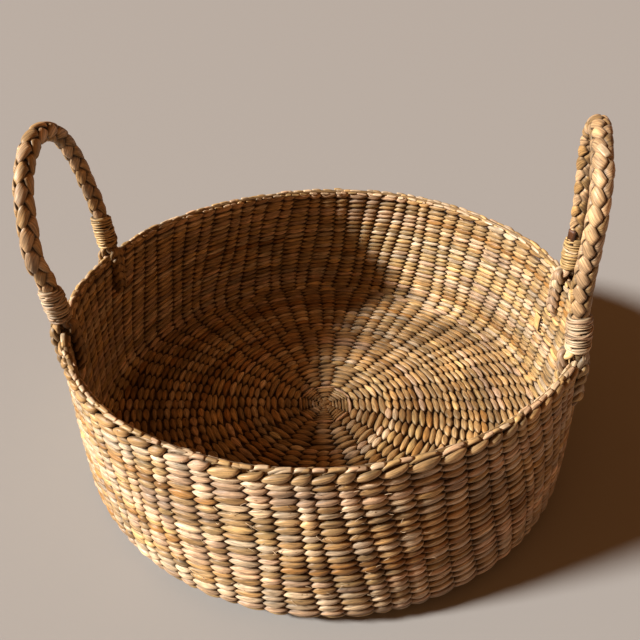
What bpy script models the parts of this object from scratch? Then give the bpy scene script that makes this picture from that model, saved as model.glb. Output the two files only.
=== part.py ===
"""Round seagrass basket with two plaited carrying handles.

The origin is the middle of the base's underside, +Z up. +X points to the right handle
and +Y to the back. Each handle is a stiff plaited rope that bends just above the
whipping at its two feet, so its hinge runs through the two bends.
"""

import math

import bmesh
import bpy
from mathutils import Matrix, Vector

MM = 0.001
GAP = 0.3 * MM  # between pieces that touch

# The woven body, outer sizes before the rim's oval
RIM_RADIUS = 180 * MM
WALL_HEIGHT = 126 * MM
WALL_THICKNESS = 7 * MM
BELLY_RADIUS = 1.072 * RIM_RADIUS
BELLY_SWELL = 0.008 * RIM_RADIUS
CORNER_RADIUS = 0.090 * RIM_RADIUS
BASE_RADIUS = BELLY_RADIUS - CORNER_RADIUS  # the turn to the wall starts here
BASE_THICKNESS = 7 * MM
ROUND_STEPS = 64

# The rim is pushed out of round: shares of its radius at twice the azimuth
OVAL_ALONG = 0.0489
OVAL_ACROSS = 0.0202
OVAL_RISE = 1.5

# The heavier row under the rim, and the folded stakes on top
BORDER_STAND = 2.0 * MM
BORDER_HEIGHT = 8.0 * MM
FOLD_HEIGHT = 3.2 * MM
FOLD_WIDTH = 6.4 * MM

# Handles
ROPE_RADIUS = 6.5 * MM
ROPE_POINTS = 34
WHIPPING_RADIUS = 8.0 * MM
WHIPPING_BORE = 6.1 * MM
WHIPPING_FOOT = 6.0 * MM  # its lower edge above the rim
BEND_CLEARANCE = 0.5 * MM
LEG_RADIUS = 3.9 * MM
LEG_RADIUS_GRIPPED = 2.75 * MM
LEG_OFFSET_GRIPPED = 2.95 * MM
LEG_EXIT = 1.7 * MM  # how far below the whipping a leg starts to turn aside
LACING_DEPTH = 37 * MM  # where the legs go through the wall, below the rim
LACING_RADIUS = 3.3 * MM
LACING_BORE = 4.3 * MM

# The cut strand end on the inside of the wall
STRAND_END_AZIMUTH = math.radians(12)
STRAND_END_HEIGHT = 0.52 * WALL_HEIGHT
STRAND_END_SIZE = (1.2 * MM, 8.0 * MM, 15.0 * MM)

# Each handle: the azimuths of its near and far foot, how far its feet stand outside the
# middle of the wall, and its centreline from the near bend to the far bend. A point is
# (along the line between the feet, up from the rim, outwards), in millimetres.
HANDLES = {
    "left": {
        "feet": (-165.2, 163.6),
        "outset": 0.0,
        "arch": (
            (-51, 40, 3),
            (-54, 56, 4),
            (-48, 78, 5),
            (-35, 99, 7),
            (-14, 114, 8),
            (8, 116, 8),
            (28, 105, 7),
            (41, 84, 6),
            (46, 62, 4),
            (51, 40, 3),
        ),
    },
    "right": {
        "feet": (-26.3, 5.7),
        "outset": 2.5 * MM,
        "arch": (
            (-50, 40, -7),
            (-48, 62, -9),
            (-46, 88, -10),
            (-38, 110, -11),
            (-18, 126, -13),
            (8, 130, -13),
            (32, 119, -12),
            (43, 100, -10),
            (46, 72, -6),
            (50, 40, -2),
        ),
    },
}


def clear_scene():
    for thing in list(bpy.data.objects):
        bpy.data.objects.remove(thing)


def new_collection(name):
    collection = bpy.data.collections.new(name)
    bpy.context.scene.collection.children.link(collection)
    return collection


def straw(name, colour, roughness=0.75):
    material = bpy.data.materials.new(name)
    material.use_nodes = True
    shader = material.node_tree.nodes["Principled BSDF"]
    shader.inputs["Base Color"].default_value = (*colour, 1.0)
    shader.inputs["Roughness"].default_value = roughness
    shader.inputs["Metallic"].default_value = 0.0
    return material


def add_piece(name, mesh, material, collection):
    piece = bpy.data.objects.new(name, mesh)
    piece.data.materials.append(material)
    collection.objects.link(piece)
    return piece


def shade_round(mesh, crease_angle=math.radians(50)):
    mesh.shade_smooth()
    mesh.set_sharp_from_angle(angle=crease_angle)


# ---- The woven body ----


def oval(azimuth, height):
    """How much the radius grows at this azimuth and height: nothing at the floor."""
    rise = max(height / WALL_HEIGHT, 0.0) ** OVAL_RISE
    return 1 + rise * (
        OVAL_ACROSS * math.sin(2 * azimuth) + OVAL_ALONG * math.cos(2 * azimuth)
    )


def wall_radius(height):
    """The wall's outer radius above the corner, before the oval."""
    climb = (height - CORNER_RADIUS) / (WALL_HEIGHT - CORNER_RADIUS)
    straight = BELLY_RADIUS + (RIM_RADIUS - BELLY_RADIUS) * climb
    return straight + BELLY_SWELL * 4 * climb * (1 - climb)


def wall_point(azimuth, height, depth):
    """A point this deep under the wall's outer face."""
    radius = (wall_radius(height) - depth) * oval(azimuth, height)
    return Vector((radius * math.cos(azimuth), radius * math.sin(azimuth), height))


def wall_face(depth, top, corner_steps=4, wall_steps=5):
    """(radius, height) from the base's edge round the corner and up, under the outer face."""
    corner = CORNER_RADIUS - depth
    face = []
    for step in range(corner_steps):
        turn = math.pi / 2 * step / corner_steps
        radius = BASE_RADIUS + corner * math.sin(turn)
        face.append((radius, CORNER_RADIUS - corner * math.cos(turn)))
    for step in range(wall_steps + 1):
        height = CORNER_RADIUS + (top - CORNER_RADIUS) * step / wall_steps
        face.append((wall_radius(height) - depth, height))
    return face


def ring(name, outline, material, collection):
    """A closed ring: a (radius, height) outline carried once round the oval."""
    shape = bmesh.new()
    corners = [shape.verts.new((radius, 0, height)) for radius, height in outline]
    sides = [shape.edges.new((corners[i - 1], corners[i])) for i in range(len(corners))]
    bmesh.ops.spin(
        shape,
        geom=corners + sides,
        axis=(0, 0, 1),
        angle=2 * math.pi,
        steps=ROUND_STEPS,
        use_merge=True,
    )
    for vert in shape.verts:
        grow = oval(math.atan2(vert.co.y, vert.co.x), vert.co.z)
        vert.co.x *= grow
        vert.co.y *= grow
    bmesh.ops.recalc_face_normals(shape, faces=shape.faces)
    mesh = bpy.data.meshes.new(name)
    shape.to_mesh(mesh)
    shape.free()
    shade_round(mesh)
    return add_piece(name, mesh, material, collection)


def rounded_bar(radius, height, width, tall, corner=0.3):
    """The outline of a flat bar with its corners cut, centred on (radius, height)."""
    half_width = width / 2
    half_tall = tall / 2
    cut = corner * min(width, tall)
    outline = []
    for side, level in ((1, -1), (1, 1), (-1, 1), (-1, -1)):
        upright = (radius + side * half_width, height + level * (half_tall - cut))
        flat = (radius + side * (half_width - cut), height + level * half_tall)
        outline += [flat, upright] if side * level < 0 else [upright, flat]
    return outline


def base_weave(material, collection):
    bpy.ops.mesh.primitive_cylinder_add(
        vertices=ROUND_STEPS,
        radius=BASE_RADIUS - GAP * 2,
        depth=BASE_THICKNESS,
        location=(0, 0, BASE_THICKNESS / 2),
    )
    base = bpy.context.object
    base.name = "base_weave"
    base.data.materials.append(material)
    bevel = base.modifiers.new("edge", "BEVEL")
    bevel.width = 1.0 * MM
    bevel.segments = 2
    shade_round(base.data)
    for owner in list(base.users_collection):
        owner.objects.unlink(base)
    collection.objects.link(base)
    return base


def wall_weave(material, collection):
    top = WALL_HEIGHT - FOLD_HEIGHT
    inner = wall_face(WALL_THICKNESS, top)
    return ring("wall_weave", wall_face(0, top) + inner[::-1], material, collection)


def border_row(material, collection):
    top = WALL_HEIGHT - FOLD_HEIGHT
    middle = top - BORDER_HEIGHT / 2
    radius = wall_radius(middle - BORDER_HEIGHT / 2) + GAP + BORDER_STAND / 2
    outline = rounded_bar(radius, middle, BORDER_STAND, BORDER_HEIGHT)
    return ring("border_row", outline, material, collection)


def rim_fold(material, collection):
    height = WALL_HEIGHT - FOLD_HEIGHT / 2 + GAP
    radius = wall_radius(WALL_HEIGHT) - WALL_THICKNESS / 2
    outline = rounded_bar(radius, height, FOLD_WIDTH, FOLD_HEIGHT)
    return ring("rim_fold", outline, material, collection)


def wall_strand_end(material, collection):
    """A short flat end of weft that lies against the inside of the wall."""
    thick = STRAND_END_SIZE[0]
    depth = WALL_THICKNESS + thick / 2 + 3 * GAP
    place = wall_point(STRAND_END_AZIMUTH, STRAND_END_HEIGHT, depth)
    above = wall_point(STRAND_END_AZIMUTH, STRAND_END_HEIGHT + 10 * MM, depth)
    up = (above - place).normalized()
    across = up.cross(Vector((math.cos(STRAND_END_AZIMUTH), math.sin(STRAND_END_AZIMUTH), 0)))
    across.normalize()
    outward = across.cross(up)
    shape = bmesh.new()
    bmesh.ops.create_cube(shape, size=1.0, matrix=Matrix.Diagonal((*STRAND_END_SIZE, 1.0)))
    mesh = bpy.data.meshes.new("wall_strand_end")
    shape.to_mesh(mesh)
    shape.free()
    piece = add_piece("wall_strand_end", mesh, material, collection)
    turn = Matrix((outward, across, up)).transposed().to_4x4()
    piece.matrix_world = Matrix.Translation(place) @ turn
    bevel = piece.modifiers.new("worn edges", "BEVEL")
    bevel.width = 0.3 * MM
    bevel.segments = 2
    return piece


# ---- The handles ----


def smooth_route(points, count):
    """Evenly spaced points of a Catmull-Rom curve through these, ends included."""
    ends = [points[0] * 2 - points[1]] + points + [points[-1] * 2 - points[-2]]
    fine = []
    for a, b, c, d in zip(ends, ends[1:], ends[2:], ends[3:]):
        for step in range(20):
            t = step / 20
            fine.append(
                (
                    b * 2
                    + (c - a) * t
                    + (a * 2 - b * 5 + c * 4 - d) * t * t
                    + (b * 3 - a - c * 3 + d) * t * t * t
                )
                / 2
            )
    fine.append(points[-1])
    lengths = [0.0]
    for before, after in zip(fine, fine[1:]):
        lengths.append(lengths[-1] + (after - before).length)
    route = []
    at = 0
    for step in range(count):
        target = lengths[-1] * step / (count - 1)
        while at < len(fine) - 2 and lengths[at + 1] < target:
            at += 1
        share = (target - lengths[at]) / (lengths[at + 1] - lengths[at])
        route.append(fine[at].lerp(fine[at + 1], share))
    return route


def tube(name, route, radii, material, collection, resolution=2):
    """A closed tube along the route, with a radius of its own at each point."""
    curve = bpy.data.curves.new(name, "CURVE")
    curve.dimensions = "3D"
    curve.bevel_depth = max(radii)
    curve.bevel_resolution = resolution
    curve.use_fill_caps = True
    spline = curve.splines.new("POLY")
    spline.points.add(len(route) - 1)
    for point, place, radius in zip(spline.points, route, radii):
        point.co = (*place, 1.0)
        point.radius = radius / max(radii)
    return add_piece(name, curve, material, collection)


def foot_frame(azimuth):
    """Outwards and sideways at a foot, both level."""
    outward = Vector((math.cos(azimuth), math.sin(azimuth), 0))
    return outward, Vector((-outward.y, outward.x, 0))


def handle_places(shape):
    """The two feet on the rim, and the arch's points in the basket's frame."""
    feet = []
    for degrees in shape["feet"]:
        azimuth = math.radians(degrees)
        middle = wall_point(azimuth, WALL_HEIGHT, WALL_THICKNESS / 2)
        feet.append(middle + foot_frame(azimuth)[0] * shape["outset"])
    along = (feet[1] - feet[0]).normalized()
    centre = (feet[0] + feet[1]) / 2
    outward = along.cross(Vector((0, 0, 1)))
    if outward.dot(centre) < 0:
        outward.negate()
    arch = []
    for run, rise, out in shape["arch"]:
        offset = along * run + Vector((0, 0, rise)) + outward * out
        arch.append(centre + offset * MM)
    return feet, arch


def handle_rope(side, arch, material, collection):
    """The plaited arch. Each end is a ball round its bend, clear of the whipping."""
    route = smooth_route(arch, ROPE_POINTS)
    radii = [ROPE_RADIUS] * len(route)
    turns = [math.radians(angle) for angle in (25, 50, 70, 84)]
    for end, inner in ((0, 1), (-1, -2)):
        bend = route[end].copy()
        down = (bend - route[inner]).normalized()
        for turn in turns:
            place = bend + down * ROPE_RADIUS * math.sin(turn)
            if end == 0:
                route.insert(0, place)
                radii.insert(0, ROPE_RADIUS * math.cos(turn))
            else:
                route.append(place)
                radii.append(ROPE_RADIUS * math.cos(turn))
    rope = tube(f"{side}_handle_rope", route, radii, material, collection, resolution=3)
    hinge = bpy.data.objects.new(f"{side}_handle_bend", None)
    hinge.location = (arch[0] + arch[-1]) / 2
    collection.objects.link(hinge)
    bpy.context.view_layer.update()
    rope.parent = hinge
    rope.matrix_parent_inverse = hinge.matrix_world.inverted()
    return rope


def whipping_axis(foot, bend):
    """Where the whipping starts and ends on the line from the foot to the bend."""
    up = (bend - foot).normalized()
    start = foot + up * WHIPPING_FOOT / up.z
    stop = bend - up * (ROPE_RADIUS + BEND_CLEARANCE)
    return start, stop, up


def whipping(name, foot, bend, material, collection, ridges=5):
    """The wound cord as a turned sleeve with a ridge for every second turn."""
    start, stop, up = whipping_axis(foot, bend)
    length = (stop - start).length
    ridge = 0.35 * MM
    outline = [(WHIPPING_BORE, length), (WHIPPING_RADIUS - ridge * 2, length)]
    for step in range(ridges * 2 - 1, 0, -1):
        swell = ridge if step % 2 else 0.0
        outline.append((WHIPPING_RADIUS - ridge + swell, length * step / (ridges * 2)))
    outline += [(WHIPPING_RADIUS - ridge * 2, 0.0), (WHIPPING_BORE, 0.0)]
    mesh = bpy.data.meshes.new(name)
    corners = [(radius, 0.0, height) for radius, height in outline]
    links = [(i, (i + 1) % len(corners)) for i in range(len(corners))]
    mesh.from_pydata(corners, links, [])
    sleeve = add_piece(name, mesh, material, collection)
    screw = sleeve.modifiers.new("turn", "SCREW")
    screw.steps = 16
    screw.render_steps = 16
    screw.use_merge_vertices = True
    screw.merge_threshold = 0.00005
    sleeve.matrix_world = Matrix.Translation(start) @ up.to_track_quat("Z", "Y").to_matrix().to_4x4()
    return sleeve


def leg(name, azimuth, foot, bend, inside, material, collection):
    """Half of the parted rope: from the whipping, beside the wall, and into the lacing hole."""
    start, stop, up = whipping_axis(foot, bend)
    outward = foot_frame(azimuth)[0]
    away = -outward if inside else outward
    radial = (away - up * away.dot(up)).normalized()
    lacing = WALL_HEIGHT - LACING_DEPTH
    face = WALL_THICKNESS if inside else 0.0
    stand = 0.0 if inside else BORDER_STAND + GAP * 3

    def beside(below_rim, clear):
        depth = face + clear if inside else face - clear
        return wall_point(azimuth, WALL_HEIGHT - below_rim, depth)

    clear = LEG_RADIUS + GAP * 2
    rim_middle = wall_point(azimuth, WALL_HEIGHT, WALL_THICKNESS / 2)
    shoulder_out = FOLD_WIDTH / 2 + LEG_RADIUS_GRIPPED + GAP * 3
    shoulder = rim_middle + away * shoulder_out + Vector((0, 0, 2 * MM))
    route = [
        (stop + radial * LEG_OFFSET_GRIPPED - up * GAP, LEG_RADIUS_GRIPPED),
        (start + radial * LEG_OFFSET_GRIPPED - up * LEG_EXIT, LEG_RADIUS_GRIPPED),
        (shoulder, LEG_RADIUS_GRIPPED),
        (beside(4 * MM, clear + stand), LEG_RADIUS - 0.5 * MM),
        (beside(10 * MM, clear + stand), LEG_RADIUS),
        (beside(20 * MM, clear), LEG_RADIUS),
        (beside(LACING_DEPTH - 8 * MM, clear), LEG_RADIUS - 0.2 * MM),
        (beside(LACING_DEPTH - 3.5 * MM, clear - 0.6 * MM), LACING_RADIUS + 0.2 * MM),
        (beside(LACING_DEPTH - 1 * MM, clear - 2.4 * MM), LACING_RADIUS),
        (beside(LACING_DEPTH, 0.4 * MM), LACING_RADIUS),
        (wall_point(azimuth, lacing, WALL_THICKNESS / 2 + (GAP if inside else -GAP)), LACING_RADIUS),
    ]
    places = [place for place, radius in route]
    radii = [radius for place, radius in route]
    return tube(name, places, radii, material, collection)


def cut_lacing_holes(wall, azimuths, cutters):
    """One hole through the wall for each pair of legs."""
    for number, azimuth in enumerate(azimuths):
        outward = foot_frame(azimuth)[0]
        centre = wall_point(azimuth, WALL_HEIGHT - LACING_DEPTH, WALL_THICKNESS / 2)
        bpy.ops.mesh.primitive_cylinder_add(
            vertices=12,
            radius=LACING_BORE,
            depth=WALL_THICKNESS * 3,
            location=centre,
            rotation=outward.to_track_quat("Z", "Y").to_euler(),
        )
        cutter = bpy.context.object
        cutter.name = f"lacing_hole_{number}"
        cutter.hide_render = True
        cutter.display_type = "WIRE"
        for owner in list(cutter.users_collection):
            owner.objects.unlink(cutter)
        cutters.objects.link(cutter)
        cut = wall.modifiers.new(cutter.name, "BOOLEAN")
        cut.operation = "DIFFERENCE"
        cut.object = cutter


def build():
    clear_scene()
    basket = new_collection("seagrass_basket")
    cutters = new_collection("cutters")
    weave = straw("weave", (0.60, 0.43, 0.24))
    border = straw("border", (0.64, 0.48, 0.28))
    plait = straw("plait", (0.55, 0.38, 0.20), 0.65)
    cord = straw("whipping", (0.66, 0.52, 0.34))
    end = straw("strand_end", (0.70, 0.58, 0.38))

    base_weave(weave, basket)
    wall = wall_weave(weave, basket)
    border_row(border, basket)
    rim_fold(border, basket)
    wall_strand_end(end, basket)
    for side, shape in HANDLES.items():
        feet, arch = handle_places(shape)
        azimuths = [math.radians(degrees) for degrees in shape["feet"]]
        handle_rope(side, arch, plait, basket)
        for place, azimuth, foot, bend in zip(("near", "far"), azimuths, feet, (arch[0], arch[-1])):
            whipping(f"{side}_{place}_whipping", foot, bend, cord, basket)
            for inside in (True, False):
                half = "inner" if inside else "outer"
                leg(f"{side}_{place}_{half}_leg", azimuth, foot, bend, inside, plait, basket)
        cut_lacing_holes(wall, azimuths, cutters)


build()
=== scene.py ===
"""The looks of the seagrass basket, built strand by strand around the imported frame."""

import math

import bpy
import numpy as np
from mathutils import Matrix, Vector


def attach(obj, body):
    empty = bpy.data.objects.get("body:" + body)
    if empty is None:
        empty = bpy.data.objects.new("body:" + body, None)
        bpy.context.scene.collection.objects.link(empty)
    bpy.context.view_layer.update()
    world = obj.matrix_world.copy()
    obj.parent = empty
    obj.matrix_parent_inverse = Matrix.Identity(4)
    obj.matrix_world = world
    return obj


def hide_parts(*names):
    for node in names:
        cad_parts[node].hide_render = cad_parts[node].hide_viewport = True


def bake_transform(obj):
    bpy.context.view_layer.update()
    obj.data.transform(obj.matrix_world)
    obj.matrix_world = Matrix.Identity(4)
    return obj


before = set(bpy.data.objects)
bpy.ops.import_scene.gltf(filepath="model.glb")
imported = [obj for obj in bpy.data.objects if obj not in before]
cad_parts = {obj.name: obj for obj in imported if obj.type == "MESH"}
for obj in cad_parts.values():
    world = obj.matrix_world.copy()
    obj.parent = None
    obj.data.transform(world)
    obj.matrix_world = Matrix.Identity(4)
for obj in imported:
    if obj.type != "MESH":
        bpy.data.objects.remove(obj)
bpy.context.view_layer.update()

MM = 0.001
UP = np.array((0.0, 0.0, 1.0))
TURN = 2 * math.pi

# The woven body, as in the CAD
RIM_RADIUS = 180 * MM
WALL_HEIGHT = 126 * MM
WALL_THICKNESS = 7 * MM
BELLY_RADIUS = 1.072 * RIM_RADIUS
BELLY_SWELL = 0.008 * RIM_RADIUS
CORNER_RADIUS = 0.090 * RIM_RADIUS
BASE_RADIUS = BELLY_RADIUS - CORNER_RADIUS
OVAL_ALONG = 0.0489
OVAL_ACROSS = 0.0202
OVAL_RISE = 1.5
FOLD_HEIGHT = 3.2 * MM
FOLD_WIDTH = 6.4 * MM
BORDER_HEIGHT = 8.0 * MM
UNDERSIDE = 0.05 * MM  # the weave is pressed flat where it stands on the floor
WALL_TWIST = math.radians(6.5)  # the stakes lean this far round from base to rim
FRONT = math.radians(-98)

# Slow dents of the wall: (millimetres, waves round, start, turned on with height)
DENTS = ((0.45, 3, 1.3, 2.1), (0.30, 5, 4.0, -3.0), (0.25, 9, 0.4, 4.0), (0.20, 14, 2.2, -6.0))
# The rim is pulled out at the right handle's feet and the front: (azimuth, spread, millimetres)
PULLS = ((math.radians(-24), 0.16, 1.4), (math.radians(6), 0.14, 0.9), (FRONT, 0.5, 1.6))
FRONT_SAG = 1.8 * MM
FRONT_SAG_SPREAD = 0.6

# The handles, as in the CAD
ROPE_RADIUS = 6.5 * MM
WHIPPING_FOOT = 6.0 * MM
BEND_CLEARANCE = 0.5 * MM
LEG_RADIUS = 3.9 * MM
LEG_RADIUS_GRIPPED = 2.75 * MM
LEG_OFFSET_GRIPPED = 2.95 * MM
LEG_EXIT = 1.7 * MM
LACING_DEPTH = 37 * MM
STRAND_END_AZIMUTH = math.radians(12)
STRAND_END_HEIGHT = 0.52 * WALL_HEIGHT
HANDLES = {
    "left": {
        "feet": (-165.2, 163.6),
        "outset": 0.0,
        "arch": (
            (-51, 40, 3),
            (-54, 56, 4),
            (-48, 78, 5),
            (-35, 99, 7),
            (-14, 114, 8),
            (8, 116, 8),
            (28, 105, 7),
            (41, 84, 6),
            (46, 62, 4),
            (51, 40, 3),
        ),
    },
    "right": {
        "feet": (-26.3, 5.7),
        "outset": 2.5 * MM,
        "arch": (
            (-50, 40, -7),
            (-48, 62, -9),
            (-46, 88, -10),
            (-38, 110, -11),
            (-18, 126, -13),
            (8, 130, -13),
            (32, 119, -12),
            (43, 100, -10),
            (46, 72, -6),
            (50, 40, -2),
        ),
    },
}

# Dry seagrass, linear colours
CREAM = (0.72, 0.54, 0.34)
YELLOW = (0.63, 0.42, 0.18)
PINK = (0.69, 0.465, 0.28)
STRAW = (0.55, 0.36, 0.165)
ORANGE = (0.45, 0.235, 0.07)
TAN = (0.54, 0.33, 0.135)
HONEY = (0.47, 0.295, 0.125)
BLUSH = (0.56, 0.37, 0.20)
PAINTED_GAP_SHADE = (0.10, 0.040, 0.010)  # painted shade: stakes and cores, seen only through the gaps, coloured nearly black as the shade there
CUT_BROWN = (0.14, 0.055, 0.02)
SPECKLE_BROWN = (0.45, 0.30, 0.16, 1)

# How far the straw's pattern is stretched along a strand and across it
FIBRE_LENGTH = 9 * MM
FIBRE_WIDTH = 0.75 * MM


def add_object(name, data):
    made = bpy.data.objects.new(name, data)
    bpy.context.scene.collection.objects.link(made)
    return made


# ---- Meshes ----


def grid_faces(rows, sides, closed):
    """Quads of a tube of this many rings, joined end to end if closed."""
    last = rows if closed else rows - 1
    i = np.arange(last)[:, None]
    j = np.arange(sides)[None, :]
    after = (i + 1) % rows
    beside = (j + 1) % sides
    quads = (i * sides + j, i * sides + beside, after * sides + beside, after * sides + j)
    return np.stack(quads, -1).reshape(-1, 4)


class Piece:
    """Collects tubes, then makes one mesh object of them with its straw attributes."""

    def __init__(self):
        self.points = []
        self.quads = []
        self.tints = []
        self.fibres = []
        self.caps = []
        self.count = 0

    def tube(self, points, tint, fibre, closed):
        """points, tint and fibre are (rings, sides, 3)."""
        rings, sides, _ = points.shape
        points = points.copy()
        points[..., 2] = np.maximum(points[..., 2], UNDERSIDE)
        self.points.append(points.reshape(-1, 3))
        self.tints.append(np.broadcast_to(tint, points.shape).reshape(-1, 3))
        self.fibres.append(np.broadcast_to(fibre, points.shape).reshape(-1, 3))
        self.quads.append(grid_faces(rings, sides, closed) + self.count)
        if not closed:
            first = np.arange(sides)[::-1] + self.count
            last = np.arange(sides) + self.count + (rings - 1) * sides
            self.caps += [first, last]
        self.count += rings * sides

    def make(self, name, material, slot, body="basket", replaces=()):
        points = np.concatenate(self.points)
        quads = np.concatenate(self.quads)
        loops = np.concatenate([quads.reshape(-1)] + self.caps)
        sizes = np.array([4] * len(quads) + [len(cap) for cap in self.caps], np.int32)
        starts = np.concatenate(([0], np.cumsum(sizes)[:-1]))
        mesh = bpy.data.meshes.new(name)
        mesh.vertices.add(len(points))
        mesh.vertices.foreach_set("co", points.astype(np.float32).reshape(-1))
        mesh.loops.add(len(loops))
        mesh.loops.foreach_set("vertex_index", loops.astype(np.int32))
        mesh.polygons.add(len(sizes))
        mesh.polygons.foreach_set("loop_start", starts.astype(np.int32))
        mesh.update(calc_edges=True)
        tints = np.concatenate(self.tints)
        tints = np.concatenate((tints, np.ones((len(tints), 1))), 1)
        tint = mesh.attributes.new("tint", "FLOAT_COLOR", "POINT")
        tint.data.foreach_set("color", tints.astype(np.float32).reshape(-1))
        fibre = mesh.attributes.new("fibre", "FLOAT_VECTOR", "POINT")
        fibres = np.concatenate(self.fibres)
        fibre.data.foreach_set("vector", fibres.astype(np.float32).reshape(-1))
        mesh.shade_smooth()
        mesh.materials.append(material)
        piece = add_object(name, mesh)
        if body:
            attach(piece, body)
        if replaces:
            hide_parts(*replaces)
        return piece


def unit(vectors):
    return vectors / np.linalg.norm(vectors, axis=-1, keepdims=True)


def section(sides, roundness=0.85):
    """(across, out) of a plump flat strand's outline, each from -1 to 1."""
    turn = np.arange(sides) / sides * TURN
    across = np.sign(np.cos(turn)) * np.abs(np.cos(turn)) ** roundness
    out = np.sign(np.sin(turn)) * np.abs(np.sin(turn)) ** roundness
    return across, out


def tube_points(centre, x, across_axis, y, out_axis):
    return centre[:, None] + x[..., None] * across_axis[:, None] + y[..., None] * out_axis[:, None]


def sweep(
    piece, centre, normal, wide, thick, tint, seed, rng,
    sides=12, ridges=0.1, closed=False, edge=0.35,
):
    """A strand along centre, flat side to normal. wide and thick are half sizes at each point.

    ridges is how much its outline varies, and edge how much painted shade darkens its edges.
    """
    count = len(centre)
    if closed:
        tangent = unit(np.roll(centre, -1, 0) - np.roll(centre, 1, 0))
    else:
        tangent = unit(np.gradient(centre, axis=0))
    across_axis = unit(np.cross(tangent, normal))
    out_axis = np.cross(across_axis, tangent)
    across, out = section(sides)
    ridge = 1 + ridges * rng.standard_normal(sides)[None, :]
    wide = np.broadcast_to(wide, count)
    thick = np.broadcast_to(thick, count)
    x = wide[:, None] * across[None, :]
    y = thick[:, None] * out[None, :] * ridge
    points = tube_points(centre, x, across_axis, y, out_axis)
    step = np.linalg.norm(np.diff(centre, axis=0), axis=1)
    along = np.concatenate(([0], np.cumsum(step)))
    fibre = np.stack(
        (
            np.broadcast_to(along[:, None] / FIBRE_LENGTH, x.shape),
            np.full(x.shape, seed),
            x / FIBRE_WIDTH + seed * 7,
        ),
        -1,
    )
    # painted shade: darker towards the strand's edges, where it meets its neighbours
    shaded = 1 - edge * np.abs(across[None, :, None]) ** 4
    piece.tube(points, np.asarray(tint).reshape(-1, 1, 3) * shaded, fibre, closed)


# ---- The woven surface ----


def oval(azimuth, height):
    rise = np.maximum(height / WALL_HEIGHT, 0.0) ** OVAL_RISE
    return 1 + rise * (OVAL_ACROSS * np.sin(2 * azimuth) + OVAL_ALONG * np.cos(2 * azimuth))


def wall_radius(height):
    climb = (height - CORNER_RADIUS) / (WALL_HEIGHT - CORNER_RADIUS)
    straight = BELLY_RADIUS + (RIM_RADIUS - BELLY_RADIUS) * climb
    return straight + BELLY_SWELL * 4 * climb * (1 - climb)


def wall_point(azimuth, height, depth):
    """A point this deep under the wall's outer face."""
    radius = (wall_radius(height) - depth) * oval(azimuth, height)
    return np.array((radius * math.cos(azimuth), radius * math.sin(azimuth), height))


def middle_line():
    """(run, radius, height) of the weave's middle surface, from the base's middle to the rim."""
    half = WALL_THICKNESS / 2
    corner = CORNER_RADIUS - half
    flat = np.linspace(0, BASE_RADIUS, 80)[:-1]
    turn = np.linspace(0, math.pi / 2, 30)
    heights = np.linspace(CORNER_RADIUS, WALL_HEIGHT, 80)[1:]
    radius = np.concatenate(
        (flat, BASE_RADIUS + corner * np.sin(turn), wall_radius(heights) - half)
    )
    height = np.concatenate(
        (np.full(len(flat), half), CORNER_RADIUS - corner * np.cos(turn), heights)
    )
    run = np.concatenate(([0], np.cumsum(np.hypot(np.diff(radius), np.diff(height)))))
    even = np.arange(0, run[-1], 0.5 * MM)
    return even, np.interp(even, run, radius), np.interp(even, run, height)


RUN, RUN_RADIUS, RUN_HEIGHT = middle_line()
RUN_OUT = unit(np.stack((np.gradient(RUN_HEIGHT), -np.gradient(RUN_RADIUS)), -1))
RUN_OF_BASE = BASE_RADIUS
RUN_OF_RIM = RUN[-1]


def run_at_height(height):
    return float(np.interp(height, RUN_HEIGHT[RUN > RUN_OF_BASE], RUN[RUN > RUN_OF_BASE]))


def unevenness(azimuth, height):
    """The slow hand-made dents and bulges of the wall, in metres outwards."""
    azimuth = (azimuth + math.pi) % TURN - math.pi
    rise = np.clip(height / WALL_HEIGHT, 0, 1)
    dents = sum(
        deep * np.sin(waves * azimuth + start + climb * rise) for deep, waves, start, climb in DENTS
    )
    pulled = sum(
        most * np.exp(-(((azimuth - middle) / spread) ** 2)) * rise**4
        for middle, spread, most in PULLS
    )
    return (dents * rise + pulled) * MM


def sag(azimuth, height):
    """How far the rim has sunk at the front."""
    azimuth = (azimuth - FRONT + math.pi) % TURN - math.pi
    rise = np.clip(height / WALL_HEIGHT, 0, 1)
    return FRONT_SAG * np.exp(-((azimuth / FRONT_SAG_SPREAD) ** 2)) * rise**4


def surface(run, azimuth, out):
    """(points, outward directions) at this run up the weave and this far out of its middle."""
    out_radius = np.interp(run, RUN, RUN_OUT[:, 0])
    out_height = np.interp(run, RUN, RUN_OUT[:, 1])
    radius = np.interp(run, RUN, RUN_RADIUS)
    height = np.interp(run, RUN, RUN_HEIGHT)
    lifted = out + unevenness(azimuth, height)
    radius = (radius + lifted * out_radius) * oval(azimuth, height)
    height = height + lifted * out_height - sag(azimuth, height)
    points = np.stack((radius * np.cos(azimuth), radius * np.sin(azimuth), height), -1)
    outwards = np.stack(
        (out_radius * np.cos(azimuth), out_radius * np.sin(azimuth), out_height), -1
    )
    return points, unit(outwards)


def strand_colours(count, palette, weights, rng, run_length=9, jitter=0.10):
    """A colour for each lozenge along a strand: long runs of one rush, each lozenge a bit off."""
    colours = np.empty((count, 3))
    at = -int(rng.integers(0, run_length))
    while at < count:
        length = int(rng.integers(3, 2 * run_length))
        pick = palette[rng.choice(len(palette), p=weights)]
        base = np.array(pick) * (1 + 0.07 * rng.standard_normal())
        colours[max(at, 0) : at + length] = base
        at += length
    stray = rng.random(count) < 0.12
    colours[stray] = np.array(palette)[rng.choice(len(palette), stray.sum(), p=weights)]
    shade = 1 + jitter * rng.standard_normal((count, 1))
    warmth = 0.025 * rng.standard_normal((count, 1)) * np.array((0.3, 0.0, -1.0))
    return np.clip(colours * (shade + warmth), 0.03, 0.86)


# ---- Twining ----

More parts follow.
